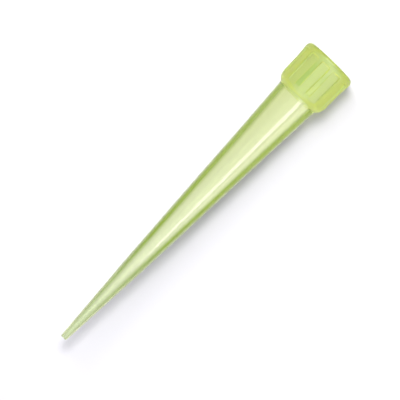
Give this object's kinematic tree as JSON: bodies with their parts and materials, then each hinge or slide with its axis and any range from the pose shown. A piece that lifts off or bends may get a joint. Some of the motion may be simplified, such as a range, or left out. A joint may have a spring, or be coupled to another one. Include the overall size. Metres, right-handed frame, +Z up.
{
  "type": "pipette tip",
  "caption": "Slender hollow cone with a fluted collar at its wide end, pressed onto a pipette nozzle to draw up and dispense small volumes of liquid.",
  "frame": {"origin": "centre of the mouth, on the surface the tip stands on", "axes": "+Z up along the tip's own axis, from its mouth to the end of its point; +X and +Y each through the middle of a flute"},
  "size_m": [0.0078, 0.0078, 0.0505],
  "materials": {
    "polypropylene": "translucent yellow-green moulded polypropylene, smooth on the point, faintly frosted on the collar"
  },
  "bodies": {
    "root": {"pipette_tip": "polypropylene"}
  },
  "joints": []
}
